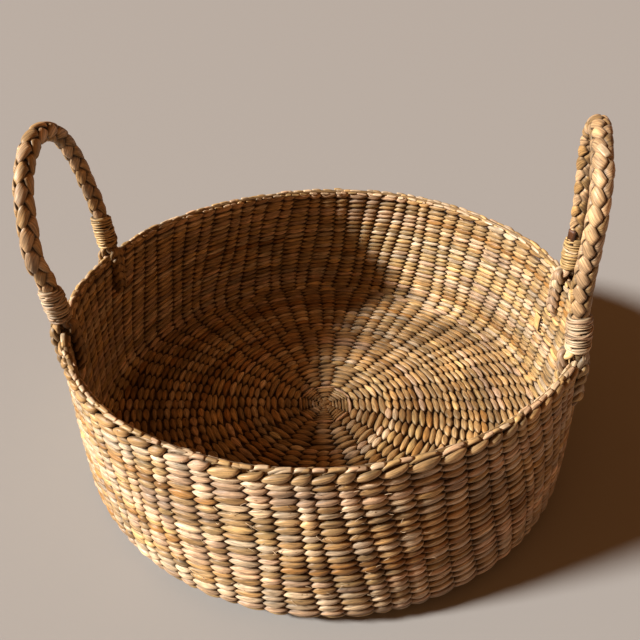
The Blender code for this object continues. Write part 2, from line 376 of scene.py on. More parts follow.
STATIONS = 12  # rings of a strand's tube for each stake that it passes
SIDES = 14
THICK_LEAST = 0.8 * MM
REACH = 0.15  # a strand reaches this far past a crossing before it turns back, in columns
LOZENGE_HALF = 1.1  # half the length that shows of a strand, in half columns
TIP_POINTED, BUTT_POINTED = 1.4, 2.4  # how soon it widens from either end
SHADE_OF_CROSSING = 0.30  # painted shade: a strand is this dark where it dives under the next one


class Columns:
    """Where the stakes stand round the basket: uneven widths that stay the same row after row."""

    def __init__(self, count, rng, uneven=0.05, alternate=0.0, twist=0.0):
        widths = 1 + uneven * rng.standard_normal(count)
        widths += alternate * np.where(np.arange(count) % 2, 1, -1)
        edges = np.concatenate(([0], np.cumsum(widths)))
        self.count = count
        self.edges = edges / edges[-1] * TURN
        self.lean = rng.uniform(0, TURN, 3)
        self.twist = twist

    def azimuth(self, place, run):
        """place counts stakes; a stake stands at each whole number."""
        whole = place + 0.5
        turns = np.floor(whole / self.count)
        azimuth = np.interp(whole - turns * self.count, np.arange(self.count + 1), self.edges)
        azimuth = azimuth + turns * TURN - math.pi / self.count
        climb = np.clip((run - RUN_OF_BASE) / (RUN_OF_RIM - RUN_OF_BASE), 0, 1)
        azimuth = azimuth - self.twist * climb
        sway = np.sin(7 * azimuth + self.lean[0] + 25 * run)
        sway += 0.7 * np.sin(12 * azimuth + self.lean[1] - 32 * run)
        return azimuth + 0.016 * sway * np.minimum(run / RUN_OF_BASE, 1) * 64 / self.count


def twine_row(piece, row, columns, rng, palette, weights):
    """One ring of twining: two strands that turn about each other between the stakes."""
    count = columns.count
    step = np.arange(count * STATIONS) / STATIONS
    matched = rng.random() < 0.75
    shared = strand_colours(count, palette, weights, rng)
    for strand in (0, 1):
        turn = math.pi * (step + strand)
        shift = REACH * np.sin(2 * (turn + row["lead"]))
        place = step + shift
        reach = (turn + row["lead"]) / math.pi + 0.5
        lozenge = np.floor(reach).astype(int) % count
        share = reach - np.floor(reach)
        facing = np.cos(turn + row["lead"])
        outside = facing > 0
        along_lozenge = (2 * share - 1 + 2 * shift) * np.where(outside, 1, -1) / LOZENGE_HALF
        pointed = np.where(along_lozenge < 0, TIP_POINTED, BUTT_POINTED)
        swell = np.clip(1 - np.abs(along_lozenge) ** pointed, 0, 1)
        level = np.sign(facing) * np.abs(facing) ** 0.6
        own = shared if matched else strand_colours(count, palette, weights, rng)
        # painted shade: each lozenge darkens towards its tips, where it dives under the crossing
        # strand
        painted_light = np.clip(swell[:, None] / 0.45, 0, 1) ** 0.9
        tint = own[lozenge] * (SHADE_OF_CROSSING + (1 - SHADE_OF_CROSSING) * painted_light)
        slip = rng.standard_normal(count)[lozenge] * swell
        fat = 1 + 0.11 * rng.standard_normal(count)[lozenge] * swell
        lean = 0.16 * rng.standard_normal(count)[lozenge] * swell
        wide_most, thick_most, rise = (
            np.where(outside, row[size], row.get(f"{size}_inside", row[size]))
            for size in ("wide", "thick", "rise")
        )
        least = row["wide_least"]
        wide = (least + (wide_most - least) * swell) * fat
        thick = THICK_LEAST + (thick_most - THICK_LEAST) * swell**0.7
        stand = row.get("stand", 0.0) * np.clip(level, 0, 1)
        azimuth = columns.azimuth(place, row["run"])
        run = row["run"] + rise * np.sin(turn) + 0.30 * MM * slip
        run = run + row["wave"] * np.sin(azimuth * row["waves"] + row["wave_start"])
        if row["straighten"]:
            side = (place + 0.5) % 1 - 0.5
            straight = math.cos(math.pi / count) / np.cos(side * TURN / count)
            run = run * (1 + row["straighten"] * (straight - 1))
        out = row["depth"] * level + stand
        centre, outwards = surface(run, azimuth, out)
        tangent = unit(np.roll(centre, -1, 0) - np.roll(centre, 1, 0))
        around = np.stack((-np.sin(azimuth), np.cos(azimuth), np.zeros(len(azimuth))), -1)
        across_axis = np.cross(outwards, around)
        along = np.sum(across_axis * tangent, axis=1, keepdims=True)
        across_axis = unit(across_axis - along * tangent)
        out_axis = np.cross(tangent, across_axis)
        tip = lean[:, None] * np.where(outside, 1, -1)[:, None]
        across_axis, out_axis = (
            across_axis * np.cos(tip) + out_axis * np.sin(tip),
            out_axis * np.cos(tip) - across_axis * np.sin(tip),
        )
        across, outline = section(SIDES, roundness=0.95)
        creases = rng.uniform(-1, 1, (count, SIDES)) * rng.uniform(0.3, 1.6, (count, 1))
        for face in (1, SIDES // 2 + 1):
            fold = rng.integers(face, face + SIDES // 2 - 1, count)
            creases[np.arange(count), fold] -= rng.uniform(0, 3.0, count)
        ridge = creases[lozenge] * swell[:, None]
        x = wide[:, None] * across[None, :] * (1 + 0.03 * ridge)
        y = thick[:, None] * outline[None, :] * (1 + 0.14 * ridge)
        points = tube_points(centre, x, across_axis, y, out_axis)
        seed = rng.uniform(0, 60, count)[lozenge]
        fibre = np.stack(
            (
                np.broadcast_to(centre[:, 0, None] / FIBRE_LENGTH, x.shape),
                np.broadcast_to(centre[:, 1, None] / FIBRE_LENGTH, x.shape),
                across[None, :] * (row["wide"] / FIBRE_WIDTH) + seed[:, None],
            ),
            -1,
        )
        # painted shade: darker along the strand's edges
        shaded = 1 - 0.50 * np.abs(across[None, :, None]) ** 4
        piece.tube(points, tint[:, None] * shaded, fibre, closed=True)


def plain_row(run, pitch, rng, **sizes):
    """The sizes of one ring of twining at this run, for this pitch."""
    row = {
        "run": run + 0.05 * pitch * rng.standard_normal(),
        "wide": 0.56 * pitch,
        "wide_least": 0.08 * pitch,
        "thick": 2.2 * MM,
        "depth": 1.65 * MM,
        "rise": 0.23 * pitch,
        "lead": 0.12,
        "wave": 0.05 * pitch,
        "waves": int(rng.integers(2, 6)),
        "wave_start": rng.uniform(0, TURN),
        "straighten": 0.0,
    }
    row.update(sizes)
    return row


def stakes(piece, columns, first, last, step, rng, thick=0.6 * MM):
    """The flattened stakes inside the weave, edge to edge from one run to another."""
    run = np.arange(first, last, step)
    for number in range(columns.count):
        sunk = np.full(len(run), (0.15 if number % 2 else -0.15) * MM)
        left, outwards = surface(run, columns.azimuth(np.full(len(run), number - 0.54), run), sunk)
        right, _ = surface(run, columns.azimuth(np.full(len(run), number + 0.54), run), sunk)
        wide = np.linalg.norm(right - left, axis=1) / 2
        # painted shade: the stakes take the near-black gap colour, standing in for the shade seen
        # through the weave
        tint = np.array(PAINTED_GAP_SHADE) * (0.9 + 0.4 * rng.random())
        centre = (left + right) / 2
        sweep(piece, centre, outwards, wide, thick, tint, number * 1.7, rng, sides=8)


# ---- Materials ----


def noise(nodes, links, place, scale, detail, roughness=0.5):
    made = nodes.new("ShaderNodeTexNoise")
    for name, value in (("Scale", scale), ("Detail", detail), ("Roughness", roughness)):
        made.inputs[name].default_value = value
    links.new(place, made.inputs["Vector"])
    return made.outputs["Fac"]


def spread(nodes, links, value, low, high, least=0.0, most=1.0):
    """Stretches a value between low and high so that it runs from least to most."""
    made = nodes.new("ShaderNodeMapRange")
    for name, end in (("From Min", low), ("From Max", high), ("To Min", least), ("To Max", most)):
        made.inputs[name].default_value = end
    links.new(value, made.inputs["Value"])
    return made.outputs["Result"]


def straw(name, streak=0.5, bump=0.6, rough=(0.42, 0.66), blotch=0.25):
    """Dry rush: the piece's own tint with painted shade in it, streaked along its fibres, with a
    waxy sheen.
    """
    material = bpy.data.materials.new(name)
    material.use_nodes = True
    nodes = material.node_tree.nodes
    links = material.node_tree.links
    shader = nodes["Principled BSDF"]
    shader.inputs["Metallic"].default_value = 0.0
    shader.inputs["Specular IOR Level"].default_value = 0.5
    shader.inputs["Sheen Weight"].default_value = 0.06

    tint = nodes.new("ShaderNodeAttribute")
    tint.attribute_name = "tint"
    fibre = nodes.new("ShaderNodeAttribute")
    fibre.attribute_name = "fibre"
    place = nodes.new("ShaderNodeTexCoord").outputs["Object"]
    streaks = noise(nodes, links, fibre.outputs["Vector"], 1.0, 3.0, roughness=0.6)
    patches = noise(nodes, links, place, 55.0, 2.0)
    flecks = noise(nodes, links, place, 620.0, 1.0)

    both = nodes.new("ShaderNodeMath")
    both.operation = "MULTIPLY"
    light = spread(nodes, links, streaks, 0.33, 0.67, 1 - streak, 1 + 0.35 * streak)
    patch = spread(nodes, links, patches, 0.35, 0.65, 1 - blotch, 1 + 0.4 * blotch)
    links.new(light, both.inputs[0])
    links.new(patch, both.inputs[1])

    deepen = nodes.new("ShaderNodeVectorMath")
    deepen.operation = "SCALE"
    links.new(tint.outputs["Color"], deepen.inputs[0])
    links.new(both.outputs["Value"], deepen.inputs["Scale"])

    speckled = nodes.new("ShaderNodeMix")
    speckled.data_type = "RGBA"
    speckled.blend_type = "MULTIPLY"
    speckled.inputs["B"].default_value = SPECKLE_BROWN
    links.new(spread(nodes, links, flecks, 0.72, 0.82), speckled.inputs["Factor"])
    links.new(deepen.outputs["Vector"], speckled.inputs["A"])
    links.new(speckled.outputs["Result"], shader.inputs["Base Color"])

    dull = spread(nodes, links, streaks, 0.3, 0.7, rough[1], rough[0])
    links.new(dull, shader.inputs["Roughness"])

    relief = nodes.new("ShaderNodeBump")
    relief.inputs["Strength"].default_value = bump
    relief.inputs["Distance"].default_value = 0.4 * MM
    links.new(streaks, relief.inputs["Height"])
    links.new(relief.outputs["Normal"], shader.inputs["Normal"])
    return material


WEAVE = straw("weave_straw", streak=0.58, bump=0.75)
BORDER = straw("border_straw", streak=0.55, bump=0.6)
FOLD = straw("fold_straw", streak=0.45, bump=0.5)
PLAIT = straw("plait_straw", streak=0.55, bump=0.6)
CORD = straw("cord_straw", streak=0.55, bump=0.6)
END = straw("end_straw", streak=0.4)


# ---- The base ----

# What share of each colour the strands have
PALETTE = (CREAM, YELLOW, PINK, STRAW, ORANGE, TAN)
WALL_MIX = (0.25, 0.22, 0.20, 0.15, 0.04, 0.14)
BASE_MIX = (0.08, 0.16, 0.12, 0.30, 0.06, 0.28)
BORDER_MIX = (0.36, 0.22, 0.22, 0.08, 0.03, 0.09)

EYE_SPOKES = 8
EYE_RINGS = 7
EYE_PITCH = 3.0 * MM
EYE_FIRST = 4.5 * MM
EYE_RADIUS = 24 * MM
BASE_BANDS = ((16, 5), (32, 9), (64, 13))  # (spokes, rings), outwards from the eye
POINTS_MOST = 70_000  # a piece takes no more rings after this many points


def weave_base():
    """Rings from the middle out. The spokes double in number from band to band."""
    rng = np.random.default_rng(11)
    piece = Piece()
    columns = Columns(EYE_SPOKES, rng, uneven=0.03)
    for number in range(EYE_RINGS):
        run = EYE_FIRST + EYE_PITCH * number
        row = plain_row(run, EYE_PITCH, rng, thick=1.5 * MM, depth=1.6 * MM, straighten=0.9)
        twine_row(piece, row, columns, rng, PALETTE, BASE_MIX)
    cross_spokes(piece, rng)
    pitch = (RUN_OF_BASE - EYE_RADIUS) / sum(rings for _, rings in BASE_BANDS)
    ring_number = 0
    spokes = Piece()
    stakes(spokes, columns, 2 * MM, EYE_RADIUS, 4 * MM, rng)
    made = []
    for count, rings in BASE_BANDS:
        columns = Columns(count, rng, uneven=0.045, alternate=0.04)
        first = EYE_RADIUS + pitch * ring_number
        stakes(spokes, columns, first, first + pitch * rings + 1 * MM, 5 * MM, rng)
        for _ in range(rings):
            run = EYE_RADIUS + pitch * (ring_number + 0.5)
            straight = 0.8 if count < 32 else 0.3
            row = plain_row(run, pitch, rng, straighten=straight, wide=0.54 * pitch)
            twine_row(piece, row, columns, rng, PALETTE, BASE_MIX)
            ring_number += 1
            if piece.count > POINTS_MOST:
                made.append(piece)
                piece = Piece()
    if piece.count:
        made.append(piece)
    for number, part in enumerate(made, 1):
        part.make(f"base_rings_{number}", WEAVE, "base_weave", replaces=["base_weave"])
    spokes.make("base_spokes", WEAVE, "base_weave", replaces=["base_weave"])


def cross_spokes(piece, rng):
    """The small crossing of spokes in the very middle of the base."""
    half = 5.5
    for number in range(4):
        angle = math.pi * number / 4 + 0.3
        reach = np.linspace(-half, half, 9) * MM
        lift = (2.2 - 0.5 * number) * np.cos(reach / (half * MM) * math.pi / 2) * MM
        centre = np.stack((reach * math.cos(angle), reach * math.sin(angle), 4.2 * MM + lift), -1)
        tint = np.array(TAN) * (0.8 + 0.2 * rng.random())
        sweep(piece, centre, np.tile(UP, (9, 1)), 1.6 * MM, 1.0 * MM, tint, number * 3.1, rng)


# ---- The wall ----

WALL_ROWS = 23
WALL_COLUMNS = 80
ROWS_PER_PIECE = 3


def weave_wall():
    """The plain rows, the stakes in them, the heavier border row and the rim."""
    rng = np.random.default_rng(23)
    columns = Columns(WALL_COLUMNS, rng, uneven=0.09, alternate=0.13, twist=WALL_TWIST)
    top = run_at_height(WALL_HEIGHT - FOLD_HEIGHT)
    border_run = top - BORDER_HEIGHT / 2 + 1.0 * MM
    last = border_run - BORDER_HEIGHT / 2 + 0.1 * MM
    pitch = (last - RUN_OF_BASE) / WALL_ROWS
    made = []
    piece = Piece()
    for number in range(WALL_ROWS):
        run = RUN_OF_BASE + pitch * (number + 0.5)
        row = plain_row(run, pitch, rng)
        twine_row(piece, row, columns, rng, PALETTE, WALL_MIX)
        if number % ROWS_PER_PIECE == ROWS_PER_PIECE - 1 or number == WALL_ROWS - 1:
            made.append(piece)
            piece = Piece()
    for number, part in enumerate(made, 1):
        part.make(f"wall_rows_{number}", WEAVE, "wall_weave", replaces=["wall_weave"])
    uprights = Piece()
    stakes(uprights, columns, RUN_OF_BASE - 3 * MM, RUN_OF_RIM - 2 * MM, 6 * MM, rng)
    uprights.make("wall_stakes", WEAVE, "wall_weave", replaces=["wall_weave"])
    border = Piece()
    row = plain_row(
        border_run,
        BORDER_HEIGHT,
        rng,
        wide=3.3 * MM,
        wide_inside=3.2 * MM,
        wide_least=0.8 * MM,
        thick=2.2 * MM,
        thick_inside=1.6 * MM,
        rise=2.2 * MM,
        rise_inside=1.2 * MM,
        stand=1.3 * MM,
    )
    twine_row(border, row, columns, rng, PALETTE, BORDER_MIX)
    border.make("border_twining", BORDER, "border", replaces=["border_row"])
    fold_rim(columns, rng)


def fold_rim(columns, rng):
    """Stake ends bent over and laid along the rim, each over the start of the next."""
    piece = Piece()
    around = np.linspace(0, TURN, 480, endpoint=False)
    top_run = run_at_height(WALL_HEIGHT - FOLD_HEIGHT)
    core, outwards = surface(np.full(len(around), top_run), around, np.zeros(len(around)))
    tint = np.array(TAN) * 0.6
    sweep(piece, core, outwards, 1.6 * MM, 1.5 * MM, tint, 3.0, rng, sides=10, closed=True)
    count = 2 * WALL_COLUMNS
    # the ends on top
    for number in range(count):
        place = number / 2 + 0.14 * rng.standard_normal()
        length = rng.uniform(0.62, 0.86)
        share = np.linspace(0, 1, 8)
        azimuth = columns.azimuth(place + share * length, np.full(8, RUN_OF_RIM))
        tuck = np.array((-1.6, -0.3, 0.55, 0.95, 1.1, 1.1, 1.0, 0.9)) * MM
        lift = tuck + 0.15 * MM * rng.standard_normal()
        side = (rng.uniform(0.3, 1.5) + 0.7 * (share - 0.5) * rng.standard_normal()) * MM
        base, outwards = surface(np.full(8, top_run), azimuth, side)
        centre = base + UP * (lift + 0.1 * MM)[:, None]
        pick = (CREAM, CREAM, YELLOW, PINK, STRAW)[int(rng.integers(0, 5))]
        tint = np.array(pick) * rng.uniform(0.85, 1.15)
        ends = 0.75 + 0.25 * np.sin(share * math.pi)
        # painted shade: each end is darker at its start, where it tucks under the end before it
        tints = tint[None] * np.array((0.5, 0.8, 1, 1, 1, 1, 1, 0.95))[:, None]
        wide = rng.uniform(1.3, 1.9) * MM * ends
        up = np.tile(UP, (8, 1)) + outwards * rng.uniform(-0.25, 0.35)
        sweep(piece, centre, unit(up), wide, 1.0 * MM, tints, rng.uniform(0, 60), rng)
    # the ends just under them on the inside
    for number in range(count):
        place = number / 2 + 0.2 + 0.16 * rng.standard_normal()
        share = np.linspace(0, 1, 7)
        length = rng.uniform(0.4, 0.7)
        azimuth = columns.azimuth(place + share * length, np.full(7, RUN_OF_RIM))
        side = (-1.9 + rng.uniform(-0.4, 0.3)) * MM
        base, outwards = surface(np.full(7, top_run), azimuth, np.full(7, side))
        slope = (share - 0.5) * rng.uniform(-0.6, 1.8) * MM
        centre = base + UP * (slope - rng.uniform(0.1, 1.0) * MM)[:, None]
        pick = (CREAM, CREAM, PINK, YELLOW)[int(rng.integers(0, 4))]
        tint = np.array(pick) * rng.uniform(0.8, 1.15)
        wide = rng.uniform(1.1, 1.6) * MM * (0.35 + 0.65 * np.sin(share * math.pi) ** 0.6)
        up = np.tile(UP, (7, 1)) * 0.8 - outwards
        sweep(piece, centre, unit(up), wide, 0.75 * MM, tint, rng.uniform(0, 60), rng, sides=10)
    piece.make("rim_segments", FOLD, "rim_fold", replaces=["rim_fold"])


# ---- The handles ----


def smooth_route(points, count):
    """Evenly spaced points of a Catmull-Rom curve through these, ends included."""
    points = np.asarray(points, float)
    ends = np.concatenate(
        ([points[0] * 2 - points[1]], points, [points[-1] * 2 - points[-2]])
    )
    fine = []
    t = (np.arange(24) / 24)[:, None]
    for a, b, c, d in zip(ends, ends[1:], ends[2:], ends[3:]):
        cubic = b * 2 + (c - a) * t + (a * 2 - b * 5 + c * 4 - d) * t**2
        fine.append((cubic + (b * 3 - a - c * 3 + d) * t**3) / 2)
    fine = np.concatenate(fine + [points[-1:]])
    run = np.concatenate(([0], np.cumsum(np.linalg.norm(np.diff(fine, axis=0), axis=1))))
    even = np.linspace(0, run[-1], count)
    return np.stack([np.interp(even, run, fine[:, axis]) for axis in range(3)], -1)


class Route:
    """A curve with a frame at each point: out is kept near one fixed direction."""

    def __init__(self, points, out):
        self.points = points
        step = np.linalg.norm(np.diff(points, axis=0), axis=1)
        self.run = np.concatenate(([0], np.cumsum(step)))
        self.length = self.run[-1]
        self.tangent = unit(np.gradient(points, axis=0))
        out = np.broadcast_to(out, points.shape)
        side = np.cross(self.tangent, out)
        self.side = unit(side)
        self.out = np.cross(self.side, self.tangent)

    def at(self, run):
        """(point, out, side) at this run; the ends go on straight."""
        def read(values):
            return np.stack([np.interp(run, self.run, values[:, axis]) for axis in range(3)], -1)

        beyond = run - np.clip(run, 0, self.length)
        point = read(self.points) + beyond[..., None] * unit(read(self.tangent))
        return point, unit(read(self.out)), unit(read(self.side))

    def round(self, run, turn, level):
        """Points at this run, turned round the curve and this far out of it."""
        point, out, side = self.at(run)
        return point + level[..., None] * (
            np.cos(turn)[..., None] * out + np.sin(turn)[..., None] * side
        )


def foot_out(azimuth):
    return np.array((math.cos(azimuth), math.sin(azimuth), 0.0))


def handle_places(shape):
    """The feet on the rim, the arch's points, and the direction out of the arch's plane."""
    feet = []
    for degrees in shape["feet"]:
        azimuth = math.radians(degrees)
        middle = wall_point(azimuth, WALL_HEIGHT, WALL_THICKNESS / 2)
        feet.append(middle + foot_out(azimuth) * shape["outset"])
    along = unit(feet[1] - feet[0])
    centre = (feet[0] + feet[1]) / 2
    outward = np.cross(along, UP)
    if outward @ centre < 0:
        outward = -outward
    arch = [
        centre + (along * run + UP * rise + outward * out) * MM
        for run, rise, out in shape["arch"]
    ]
    return feet, arch, outward


def whipping_axis(foot, bend):
    up = unit(bend - foot)
    start = foot + up * WHIPPING_FOOT / up[2]
    stop = bend - up * (ROPE_RADIUS + BEND_CLEARANCE)
    return start, stop, up


BRAID_PERIOD = {"left": 26 * MM, "right": 19.5 * MM}
BRAID_TURNED = {"left": 0.25, "right": -0.08}  # how far round the plait starts, in turns
BRAID_SEED = {"left": 41, "right": 43}
BRAID_FIBRE_WIDTH = 0.7 * MM
BRAID_SIDES = 26
BRAID_RINGS = 26  # for each over and under
# (way round, where it first comes over, in turns round the rope and in periods along it)
BRAID_STRANDS = ((1, 0.0, 0.0), (1, 0.5, 0.0), (-1, 0.25, 0.25), (-1, 0.75, 0.25))


def braid_rope(side, feet, arch, outward, palette):
    """Four flat strands of a round plait, two turning each way."""
    rng = np.random.default_rng(BRAID_SEED[side])
    period = BRAID_PERIOD[side]
    lower = [whipping_axis(foot, bend)[0] for foot, bend in zip(feet, (arch[0], arch[-1]))]
    whole = [lower[0]] + arch + [lower[1]]
    route = Route(smooth_route(whole, 360), outward)
    across, outline = section(BRAID_SIDES, roundness=0.6)
    count = int(route.length / (period / 2)) + 3
    for strand, (way, start_turn, start_run) in enumerate(BRAID_STRANDS):
        beat = np.arange(-BRAID_RINGS, (count - 1) * BRAID_RINGS) / BRAID_RINGS * TURN
        stretch = 0.8 * period / (2 * TURN)
        run = period * (beat / (2 * TURN) + start_run) + stretch * np.sin(beat)
        kept = (run > 0) & (run < route.length)
        beat, run = beat[kept], run[kept]
        turn = way * (beat / 2 - 0.20 * np.sin(beat)) + (start_turn + BRAID_TURNED[side]) * TURN
        turn = turn + 0.12 * np.sin(run / (41 * MM) + 1.0)
        lozenge = np.floor(beat / TURN + 0.5).astype(int) % count
        over = 0.5 + 0.5 * np.tanh(3.2 * np.cos(beat) + 0.6)
        swell = (0.5 + 0.5 * np.cos(beat)) ** 0.6
        grip = np.minimum(run, route.length - run)
        squeeze = 0.84 + 0.16 * np.clip((grip - 24 * MM) / (8 * MM), 0, 1)
        jitter = rng.standard_normal((3, count))[:, lozenge] * swell
        run = run + 0.35 * MM * jitter[0]
        wide = (3.0 * MM + 0.9 * MM * swell) * (1 + 0.07 * jitter[1]) * squeeze
        thick = (0.85 * MM + 0.25 * MM * swell) * squeeze
        radius = (3.1 * MM + 2.2 * MM * over + 0.15 * MM * jitter[2]) * squeeze
        lever = np.maximum(radius, 3.8 * MM)
        tilt = np.arctan2(lever * np.gradient(turn), np.gradient(run))
        ridge = rng.uniform(-1, 1, (count, BRAID_SIDES))[lozenge] * swell[:, None]
        ridge = 0.6 * ridge + 0.6 * rng.uniform(-1, 1, BRAID_SIDES)[None, :]
        x = wide[:, None] * across[None, :]
        y = thick[:, None] * outline[None, :] * (1 + 0.20 * ridge)
        crown = across[None, :] ** 2 * 0.30 * MM
        along = run[:, None] - x * np.sin(tilt)[:, None]
        around = turn[:, None] + x * np.cos(tilt)[:, None] / lever[:, None]
        level = radius[:, None] + y - crown
        points = route.round(along, around, level)
        colours = strand_colours(count, palette, [1 / len(palette)] * len(palette), rng, 5, 0.08)
        # painted shade: each strand darkens where it goes under the crossing strands
        clear_of_painted_shade = np.clip((np.cos(beat) + 0.35) / 0.40, 0, 1)
        tint = colours[lozenge] * (0.30 + 0.70 * clear_of_painted_shade[:, None])
        seed = rng.uniform(0, 60, count)[lozenge]
        fibre = np.stack(
            (
                np.broadcast_to(run[:, None] / FIBRE_LENGTH, x.shape),
                np.broadcast_to(seed[:, None], x.shape),
                x / BRAID_FIBRE_WIDTH + seed[:, None],
            ),
            -1,
        )
        # painted shade along the strand's edges
        shaded = 1 - 0.65 * np.abs(across[None, :, None]) ** 7
        piece = Piece()
        piece.tube(points, tint[:, None] * shaded, fibre, closed=False)
        made = piece.make(
            f"{side}_handle_strand_{strand + 1}",
            PLAIT,
            "plait",
            body=None,
            replaces=[f"{side}_handle_rope"],
        )
        bend_with_handle(made)
    if side == "right":
        loose_braid_end(route)


def loose_braid_end(route):
    """The pale end of a strand that sticks out of the plait near its top."""
    share = np.linspace(0, 1, 7)
    run = (0.417 - 0.012 * 2 * (share - 0.5)) * route.length
    turn = math.radians(-118) + 0.75 * share
    across, outline = section(12, roundness=0.7)
    wide = 2.2 * MM * np.array((0.7, 0.95, 1, 1, 1, 0.95, 0.85))
    along = run[:, None] + 0.5 * wide[:, None] * across[None, :]
    around = turn[:, None] + 0.8 * wide[:, None] * across[None, :] / (6 * MM)
    level = (6.3 + 0.8 * share[:, None] + 0.5 * outline[None, :]) * MM
    points = route.round(along, around, level)
    fibre = np.stack(
        (along / FIBRE_LENGTH, np.full(along.shape, 3.0), across * wide[:, None] / MM), -1
    )
    piece = Piece()
    piece.tube(points, np.array(CREAM).reshape(1, 1, 3) * 0.95, fibre, closed=False)
    made = piece.make("right_handle_loose_end", PLAIT, "plait", body=None)
    bend_with_handle(made)


def cut_ends(feet, arch):
    """The brown stub over the right far whipping and the pale tuft under the near one."""
    rng = np.random.default_rng(53)
    _, stop, up = whipping_axis(feet[1], arch[-1])
    inward = unit(np.array((-0.85, -0.55, 0.0)))
    reach = np.linspace(-4, 7, 6) * MM
    centre = stop + up * reach[:, None] + inward * 5.9 * MM
    tints = np.array(CUT_BROWN) * np.linspace(0.6, 1.1, 6)[:, None]
    stub = Piece()
    sweep(stub, centre, np.tile(inward, (6, 1)), 3.3 * MM, 1.3 * MM, tints, 2.0, rng)
    made = stub.make("right_far_cut_stub", PLAIT, "plait", body=None)
    bend_with_handle(made)
    start, _, up = whipping_axis(feet[0], arch[0])
    tuft = Piece()
    for number in range(5):
        angle = math.radians(-78 + 11 * number)
        toward = np.array((math.cos(angle), math.sin(angle), 0.0))
        reach = np.linspace(2, -rng.uniform(2.5, 4.5), 5) * MM
        centre = start + up * reach[:, None] + toward * np.linspace(6.4, 7.6, 5)[:, None] * MM
        tint = np.array(CREAM) * rng.uniform(1.0, 1.15)
        sweep(tuft, centre, np.tile(toward, (5, 1)), 0.6 * MM, 0.35 * MM, tint, 4.0, rng, sides=8)
    tuft.make("right_near_tuft", CORD, "whipping")


def frayed_fibres():
    """Loose hairs of straw on the front of the wall."""
    rng = np.random.default_rng(67)
    piece = Piece()
    for _ in range(70):
        azimuth = math.radians(rng.choice((-112, -96, -84, -72)) + 9 * rng.standard_normal())
        run = RUN_OF_BASE + (RUN_OF_RIM - RUN_OF_BASE) * rng.uniform(0.2, 0.95)
        share = np.linspace(0, 1, 6)
        length = rng.uniform(2.5, 6.0) * MM
        angle = rng.uniform(-0.7, 0.7) + (0 if rng.random() < 0.5 else math.pi)
        bow = rng.uniform(-1, 1) * MM
        along = run + length * share * math.sin(angle) + bow * np.sin(math.pi * share)
        around = azimuth + length * share * math.cos(angle) / RIM_RADIUS
        lift = (3.2 + rng.uniform(0.6, 2.2) * share) * MM
        centre, outwards = surface(along, around, lift)
        tint = np.array(CREAM) * rng.uniform(0.9, 1.15)
        sweep(piece, centre, outwards, 0.16 * MM, 0.12 * MM, tint, 1.0, rng, sides=5, edge=0.0)
    piece.make("frayed_fibres", END, "wall_weave")


def bend_with_handle(piece):
    """Applies the piece's placement to its mesh, leaving it fixed where it is."""
    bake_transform(piece)


CORD_TURNS = 11.5
CORD_WIDE = 0.95 * MM
CORD_HALF = 0.9 * MM
# The turns laid across the others: (share of the height, turns, slant in millimetres)
CROSS_TURNS = ((0.86, 1.6, 1.6), (0.66, 1.2, -2.6), (0.42, 1.3, 2.6), (0.2, 1.2, -2.2))


def wind_cord(name, foot, bend, node, tints, rng):
    """A thin cord wound round the rope, with a few turns laid across the others."""
    start, stop, up = whipping_axis(foot, bend)
    axis = stop - start
    length = np.linalg.norm(axis)
    first = unit(np.cross(up, (0.3, 1.0, 0.2)))
    second = np.cross(up, first)
    piece = Piece()

    def turns(low, high, rounds, radius, wide, thick, tint, slant=0.0, start_angle=0.0):
        count = int(rounds * 22)
        share = np.linspace(0, 1, count)
        angle = share * rounds * TURN + start_angle
        height = low + (high - low) * share + slant * np.sin(angle)
        height += 0.30 * MM * np.sin(angle * 0.83 + rng.uniform(0, 6))
        height += 0.25 * MM * np.sin(angle * 2.31 + rng.uniform(0, 6))
        barrel = radius + 0.25 * MM * np.sin(angle * 0.37 + rng.uniform(0, 6))
        barrel = barrel - 0.8 * MM * np.abs(2 * height / length - 1) ** 3
        centre = (
            start
            + up * height[:, None]
            + barrel[:, None] * (np.cos(angle)[:, None] * first + np.sin(angle)[:, None] * second)
        )
        radial = unit(centre - start - up * ((centre - start) @ up)[:, None])
        widths = wide * (1 + 0.16 * np.sin(angle * 0.71 + rng.uniform(0, 6)))
        shade = 1 + 0.14 * np.sin(angle * 0.29 + rng.uniform(0, 6))
        shade = shade + 0.07 * np.sin(angle * 1.3 + rng.uniform(0, 6))
        colours = np.array(tint) * shade[:, None]
        seed = rng.uniform(0, 60)
        # painted shade: edge=0.75 darkens the cord's edges, as the shade between the turns
        sweep(piece, centre, radial, widths, thick, colours, seed, rng, sides=10, edge=0.75)

    low, high = CORD_HALF, length - CORD_HALF
    turns(low, high, CORD_TURNS, 6.5 * MM, CORD_WIDE, 1.35 * MM, tints[0], slant=0.9 * MM)
    for share, rounds, slant in CROSS_TURNS:
        low = length * (share - 0.06)
        high = low + length * 0.12
        tint = tints[int(rng.integers(0, 2))]
        start_angle = rng.uniform(0, TURN)
        turns(low, high, rounds, 7.4 * MM, CORD_WIDE, 0.9 * MM, tint, slant * MM, start_angle)
    return piece.make(name, CORD, "whipping", replaces=[node])


